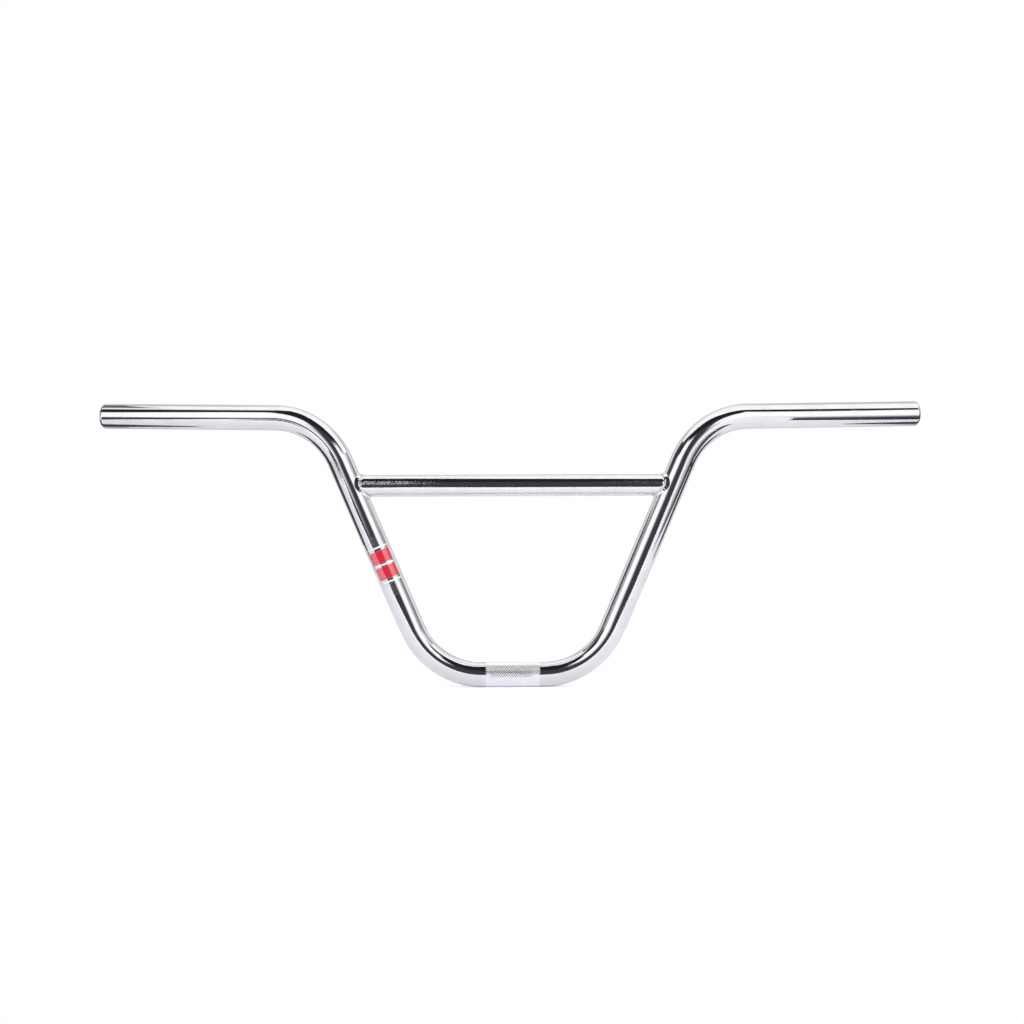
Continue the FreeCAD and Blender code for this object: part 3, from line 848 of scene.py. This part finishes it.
def right_shape(along, up):
    """The right cloth: its lower edge slopes down and then blurs, and its upper edge has a hump."""
    higher = up.between(0.65, 1.0)
    near_edge = 0.05 - higher * 0.35
    soft = 0.42 - higher * 0.25
    outer = along.between(0.35, 0.60)
    slope = along.math("MINIMUM", 0.35) * -0.95
    hump = outer * 0.33 - along.between(0.62, 0.85) * 0.44
    return ((along - near_edge).between(soft * -1, soft) * (1 - along.between(1.35, 2.10))
            * (up - slope).between(outer * -0.45 - 0.12, outer * 0.40 + 0.10)
            * (1 - (up - hump).between(1.36, 1.72)))


softbox("left_softbox", (-514, -1670), (-1600, -790), -300, 1650, -700, 1950, left_shape)
softbox("right_softbox", (915, -2210), (2215, -896), -500, 2150, -1300, 2100, right_shape)
print("softboxes glow at", SOFTBOX_WHITE[0])

# %% [markdown]
# The table is plain white and glows a little, as a lit tabletop does. A lamp in front, which the chrome
# doesn't mirror, lights the rest of it, so the bar still throws a shadow behind the clamp. Further out it
# glows more for the camera, which keeps the ground white. The tubes mirror the table's edge and the dark
# floor past it as thin dark lines, so the top is cut to an outline that puts these lines in their places.

# %% Table
TABLE_WHITE, TABLE_GLOW = (0.80, 0.795, 0.83, 1), (1.0, 0.99, 1.045)
GLOW_NEAR, GLOW_FAR_GAIN, GLOW_MIRRORED = 0.42, 0.58, 0.12
TABLE_GAP = 0.1
TABLE_OUTLINE = [
    (-640, -300), (-640, -470), (-740, -860), (-680, -860), (-550, -440), (-250, -370), (-170, -480),
    (-105, -590), (-55, -510), (0, -470), (105, -465), (300, -420), (440, -660), (600, -900), (800, -880),
    (630, -540), (512, -345), (420, -190), (480, -110), (560, -50), (690, -30), (690, 15), (560, 28),
    (450, 42), (390, 70), (390, 100), (430, 160), (470, 300), (500, 900), (-430, 900), (-430, 200),
    (-400, 150), (-350, 110), (-370, 65), (-450, 32), (-560, 15), (-640, 0)]

table_finish, glow, output = glowing("white_table", TABLE_GLOW)
rays = glow.node("ShaderNodeLightPath")
place = glow.node("ShaderNodeTexCoord", out="Object")
away = glow.node("ShaderNodeVectorMath", {"operation": "LENGTH"}, {0: place}, out="Value")
seen = rays.beside("Is Camera Ray") * (away.between(0.10, 0.35) * GLOW_FAR_GAIN + GLOW_NEAR)
mirrored = (rays.beside("Is Glossy Ray") + rays.beside("Is Transmission Ray")) * GLOW_MIRRORED
feed(seen + mirrored, glow.socket.node, "Strength")
matt = glow.node("ShaderNodeBsdfDiffuse", None, {"Color": TABLE_WHITE})
feed(glow.node("ShaderNodeAddShader", None, {0: matt, 1: glow}), output, "Surface")
table_top = -KNURL_CREST - TABLE_GAP
table = studio_panel("table", [(*at, table_top) for at in TABLE_OUTLINE], table_finish)
table.visible_camera = True

# %% Light on the table
LIGHT_AT, LIGHT_AIM_Y = Vector((0, -900, 750)), -100
LIGHT_WIDTH, LIGHT_DEPTH, LIGHT_WATTS = 1200, 600, 11.0

light = bpy.data.lights.new("table_light", "AREA")
light.shape, light.energy = "RECTANGLE", LIGHT_WATTS
light.size, light.size_y = LIGHT_WIDTH * MM, LIGHT_DEPTH * MM
table_light = add_object("table_light", light)
table_light.location = LIGHT_AT * MM
table_light.rotation_euler = (math.atan2(LIGHT_AIM_Y - LIGHT_AT.y, LIGHT_AT.z), 0, 0)
table_light.visible_camera = table_light.visible_glossy = False
print("table light at", LIGHT_AT[:], "mm")

# %% [markdown]
# The lamp overhead is a wide cloth that dims towards its back corners. Its front edge is the upper limit of
# the dark band on the grips and the crossbar, so it is an outline too.

# %% Overhead lamp
LAMP_HEIGHT = 807
LAMP_GLOW, DIM_BACK, DIM_CORNERS = 1.22, 0.25, 0.42
LAMP_OUTLINE = [
    (-525, -5), (-400, -25), (-300, -55), (-200, -65), (-110, -75), (-60, -115), (0, -160), (100, -205),
    (200, -265), (540, -290), (700, -310), (850, -320), (850, 800), (-525, 800)]

lamp_finish, glow, output = glowing("lamp_cloth", (1.0, 1.0, 1.0))
x = split(glow.node("ShaderNodeTexCoord", out="Object"))
to_side, to_back = x.math("ABSOLUTE").between(0.20, 0.45), x.beside("Y").between(0.10, 0.60)
feed(LAMP_GLOW - to_back * (to_side * DIM_CORNERS + DIM_BACK), glow.socket.node, "Strength")
studio_panel("overhead_lamp", [(*at, LAMP_HEIGHT) for at in LAMP_OUTLINE], lamp_finish)

# %% [markdown]
# ## The camera
# The photograph was taken from straight ahead, a little under two metres away and a little above the middle
# of the bar, with a long lens. The focal length in pixels comes from a fit of the bar's own outline, for an
# image 1024 pixels wide. The same fit turns the camera by under a degree and leans it by a fifth of a degree.

# %% Camera
IMAGE_WIDTH, FOCAL_PIXELS = 1024, 2143.5
CAMERA_AIM, CAMERA_DISTANCE = Vector((-0.16, 0, 143.79)), 1900.0
CAMERA_TURN, CAMERA_LEAN = math.radians(0.85), math.radians(0.228)

camera = add_object("camera", bpy.data.cameras.new("camera"))
camera.data.sensor_width = 36.0
camera.data.lens = FOCAL_PIXELS / IMAGE_WIDTH * camera.data.sensor_width
camera.data.clip_start, camera.data.clip_end = 0.05, 50.0
looking = Vector((math.sin(CAMERA_TURN), math.cos(CAMERA_TURN), 0))
camera.matrix_world = (Matrix.Translation((CAMERA_AIM - looking * CAMERA_DISTANCE) * MM)
                       @ Matrix.Rotation(-CAMERA_TURN, 4, "Z") @ Matrix.Rotation(math.pi / 2, 4, "X")
                       @ Matrix.Rotation(-CAMERA_LEAN, 4, "Z"))
bpy.context.scene.camera = camera
bpy.context.scene.view_settings.view_transform = "Standard"
print("lens:", round(camera.data.lens, 2), "mm")
